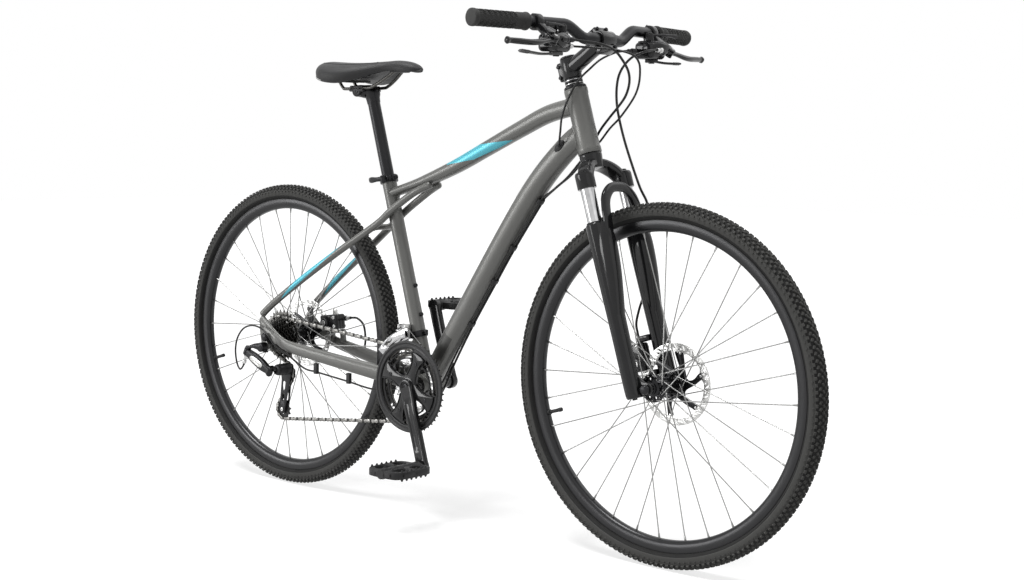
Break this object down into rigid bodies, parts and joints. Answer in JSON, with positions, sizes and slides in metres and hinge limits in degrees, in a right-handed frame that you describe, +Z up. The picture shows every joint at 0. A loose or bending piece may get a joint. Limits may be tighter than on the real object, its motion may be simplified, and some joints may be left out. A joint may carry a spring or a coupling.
{
  "type": "hybrid bicycle",
  "caption": "Hybrid bicycle with an aluminium frame, telescopic fork, disc brakes, riser bar, derailleur drive and guarded crankset.",
  "frame": {"origin": "on the ground, midway between the two axles and in the bike's middle plane", "axes": "+X forward, +Y to the rider's left, +Z up"},
  "size_m": [1.7694, 0.6702, 1.0466],
  "materials": {
    "black_anodised": "black anodised",
    "black_paint": "black gloss paint",
    "black_plastic": "black moulded",
    "chrome": "polished chrome",
    "dark_steel": "dark plated steel",
    "frame_paint": "charcoal metallic gloss paint",
    "grey_plastic": "pale grey moulded",
    "grip_rubber": "black textured",
    "saddle_vinyl": "black soft cover",
    "steel": "ground steel",
    "tyre_rubber": "black tread rubber"
  },
  "bodies": {
    "frame": {"front_frame": "frame_paint", "rear_stays": "frame_paint", "seat_clamp": "black_anodised", "rear_axle": "black_anodised", "rd_bracket": "black_anodised", "fd_clamp": "black_anodised", "rear_caliper": "black_anodised", "rear_brake_housing": "black_plastic", "rear_shift_housing": "black_plastic", "front_shift_housing": "black_plastic", "chain": "dark_steel"},
    "seat_clamp_lever": {"seat_clamp_lever": "black_anodised"},
    "rear_qr_lever": {"rear_qr_lever": "black_anodised"},
    "saddle_and_post": {"seatpost": "black_anodised", "saddle_base": "black_plastic", "saddle_cover": "saddle_vinyl"},
    "steerer": {"fork_crown": "black_paint", "right_stanchion": "chrome", "left_stanchion": "chrome", "stem": "black_paint", "stem_faceplate": "black_paint", "handlebar": "black_paint", "right_grip": "grip_rubber", "left_grip": "grip_rubber", "right_control_body": "black_plastic", "left_control_body": "black_plastic"},
    "right_brake_lever": {"right_brake_lever": "black_anodised"},
    "left_brake_lever": {"left_brake_lever": "black_anodised"},
    "right_thumb_lever": {"right_thumb_lever": "grey_plastic"},
    "left_thumb_lever": {"left_thumb_lever": "grey_plastic"},
    "right_trigger": {"right_trigger": "black_plastic"},
    "left_trigger": {"left_trigger": "black_plastic"},
    "fork_lowers": {"fork_lowers": "black_paint", "front_caliper": "black_anodised", "front_axle": "black_anodised", "front_brake_housing": "black_plastic"},
    "front_qr_lever": {"front_qr_lever": "black_anodised"},
    "front_caliper_arm": {"front_caliper_arm": "steel"},
    "rear_caliper_arm": {"rear_caliper_arm": "steel"},
    "front_wheel": {"front_hub": "black_anodised", "front_rim": "black_anodised", "front_tyre": "tyre_rubber", "front_rotor": "steel"},
    "rear_wheel": {"rear_hub": "black_anodised", "rear_rim": "black_anodised", "rear_tyre": "tyre_rubber", "rear_rotor": "steel"},
    "cassette": {"cassette": "dark_steel"},
    "crankset": {"right_crank": "black_anodised", "chainguard": "grey_plastic", "large_chainring": "dark_steel", "left_crank": "black_anodised"},
    "right_pedal": {"right_pedal": "black_plastic"},
    "left_pedal": {"left_pedal": "black_plastic"},
    "rd_outer_link": {"rd_outer_link": "dark_steel"},
    "rd_knuckle": {"rd_knuckle": "black_anodised"},
    "rd_cage": {"rd_cage": "black_anodised"},
    "guide_pulley": {"guide_pulley": "black_plastic"},
    "tension_pulley": {"tension_pulley": "black_plastic"},
    "fd_cage": {"fd_cage": "steel"}
  },
  "joints": [
    {"name": "crank_spin", "type": "hinge", "parent": "frame", "child": "crankset", "pos_m": [-0.085, 0, 0.284], "axis": [0, 1, 0], "continuous": true},
    {"name": "steering", "type": "hinge", "parent": "frame", "child": "steerer", "pos_m": [0.34577, 0, 0.78682], "axis": [-0.3024, 0, 0.9532], "range_deg": [-70, 70], "deforming": ["rear_brake_housing", "rear_shift_housing", "front_shift_housing"]},
    {"name": "fork_travel", "type": "slide", "parent": "steerer", "child": "fork_lowers", "axis": [-0.3024, 0, 0.9532], "range_m": [0, 0.06], "stiffness_N_per_m": 5000, "springref_m": -0.01, "deforming": ["front_brake_housing"]},
    {"name": "front_wheel_spin", "type": "hinge", "parent": "fork_lowers", "child": "front_wheel", "pos_m": [0.5347, 0, 0.35], "axis": [0, 1, 0], "continuous": true},
    {"name": "rear_wheel_spin", "type": "hinge", "parent": "frame", "child": "rear_wheel", "pos_m": [-0.5347, 0, 0.35], "axis": [0, 1, 0], "continuous": true},
    {"name": "cassette_spin", "type": "hinge", "parent": "frame", "child": "cassette", "pos_m": [-0.5347, 0, 0.35], "axis": [0, 1, 0], "continuous": true},
    {"name": "right_pedal_spin", "type": "hinge", "parent": "crankset", "child": "right_pedal", "pos_m": [-0.02463, -0.095, 0.12508], "axis": [0, 1, 0], "continuous": true},
    {"name": "left_pedal_spin", "type": "hinge", "parent": "crankset", "child": "left_pedal", "pos_m": [-0.14537, 0.095, 0.44292], "axis": [0, 1, 0], "continuous": true},
    {"name": "rd_shift", "type": "hinge", "parent": "frame", "child": "rd_outer_link", "pos_m": [-0.588, -0.088, 0.312], "axis": [0.438, 0, 0.899], "range_deg": [-13, 6.5], "deforming": ["chain"]},
    {"name": "rd_knuckle_turn", "type": "hinge", "parent": "rd_outer_link", "child": "rd_knuckle", "pos_m": [-0.508, -0.088, 0.273], "axis": [0.438, 0, 0.899], "range_deg": [-6.5, 13]},
    {"name": "rd_cage_swing", "type": "hinge", "parent": "rd_knuckle", "child": "rd_cage", "pos_m": [-0.495, -0.0433, 0.277], "axis": [0, -1, 0], "range_deg": [-25, 45], "stiffness_Nm_per_rad": 1.5},
    {"name": "guide_pulley_spin", "type": "hinge", "parent": "rd_cage", "child": "guide_pulley", "pos_m": [-0.50663, -0.036, 0.2653], "axis": [0, 1, 0], "continuous": true},
    {"name": "tension_pulley_spin", "type": "hinge", "parent": "rd_cage", "child": "tension_pulley", "pos_m": [-0.51695, -0.036, 0.17891], "axis": [0, 1, 0], "continuous": true},
    {"name": "fd_swing", "type": "hinge", "parent": "frame", "child": "fd_cage", "pos_m": [-0.135, -0.03, 0.405], "axis": [1, 0, 0], "range_deg": [-10, 10]},
    {"name": "right_brake", "type": "hinge", "parent": "steerer", "child": "right_brake_lever", "pos_m": [0.40151, -0.18519, 0.99605], "axis": [-0.5533, 0.0808, -0.829], "range_deg": [0, 22], "stiffness_Nm_per_rad": 1.2, "springref_deg": -8.59},
    {"name": "right_thumb", "type": "hinge", "parent": "steerer", "child": "right_thumb_lever", "pos_m": [0.37838, -0.15, 0.9756], "axis": [0, 0, 1], "range_deg": [0, 20], "stiffness_Nm_per_rad": 0.3, "springref_deg": -11.46},
    {"name": "right_trigger_pull", "type": "hinge", "parent": "steerer", "child": "right_trigger", "pos_m": [0.38238, -0.137, 1.0116], "axis": [0, 0, -1], "range_deg": [0, 9], "stiffness_Nm_per_rad": 0.2, "springref_deg": -11.46},
    {"name": "left_brake", "type": "hinge", "parent": "steerer", "child": "left_brake_lever", "pos_m": [0.39777, 0.18464, 0.99103], "axis": [0.636, 0.0929, 0.766], "range_deg": [0, 22], "stiffness_Nm_per_rad": 1.2, "springref_deg": -8.59},
    {"name": "left_thumb", "type": "hinge", "parent": "steerer", "child": "left_thumb_lever", "pos_m": [0.37838, 0.15, 0.9756], "axis": [0, 0, -1], "range_deg": [0, 20], "stiffness_Nm_per_rad": 0.3, "springref_deg": -11.46},
    {"name": "left_trigger_pull", "type": "hinge", "parent": "steerer", "child": "left_trigger", "pos_m": [0.38238, 0.137, 1.0116], "axis": [0, 0, 1], "range_deg": [0, 9], "stiffness_Nm_per_rad": 0.2, "springref_deg": -11.46},
    {"name": "rear_caliper_pull", "type": "hinge", "parent": "frame", "child": "rear_caliper_arm", "pos_m": [-0.45988, 0.07, 0.38033], "axis": [0, 1, 0], "range_deg": [0, 20]},
    {"name": "front_caliper_pull", "type": "hinge", "parent": "fork_lowers", "child": "front_caliper_arm", "pos_m": [0.45168, 0.0575, 0.38053], "axis": [0, 1, 0], "range_deg": [0, 20]},
    {"name": "seatpost_height", "type": "slide", "parent": "frame", "child": "saddle_and_post", "axis": [-0.2807, 0, 0.9598], "range_m": [-0.12, 0.03]},
    {"name": "seat_clamp_release", "type": "hinge", "parent": "frame", "child": "seat_clamp_lever", "pos_m": [-0.20306, -0.02685, 0.72301], "axis": [-0.1135, -0.0973, 0.9888], "range_deg": [0, 110]},
    {"name": "front_qr_release", "type": "hinge", "parent": "fork_lowers", "child": "front_qr_lever", "pos_m": [0.5347, 0.0691, 0.35], "axis": [-0.9532, 0, -0.3024], "range_deg": [0, 165]},
    {"name": "rear_qr_release", "type": "hinge", "parent": "frame", "child": "rear_qr_lever", "pos_m": [-0.5347, 0.0866, 0.35], "axis": [0, 0, -1], "range_deg": [0, 150]}
  ],
  "couplings": [
    {"joint": "cassette_spin", "follows": "crank_spin", "ratio": 1.7273},
    {"joint": "guide_pulley_spin", "follows": "crank_spin", "ratio": -3.4545},
    {"joint": "tension_pulley_spin", "follows": "crank_spin", "ratio": 3.4545},
    {"joint": "rd_knuckle_turn", "follows": "rd_shift", "ratio": -1},
    {"joint": "rear_caliper_pull", "follows": "right_brake", "ratio": 0.9},
    {"joint": "front_caliper_pull", "follows": "left_brake", "ratio": 0.9}
  ]
}
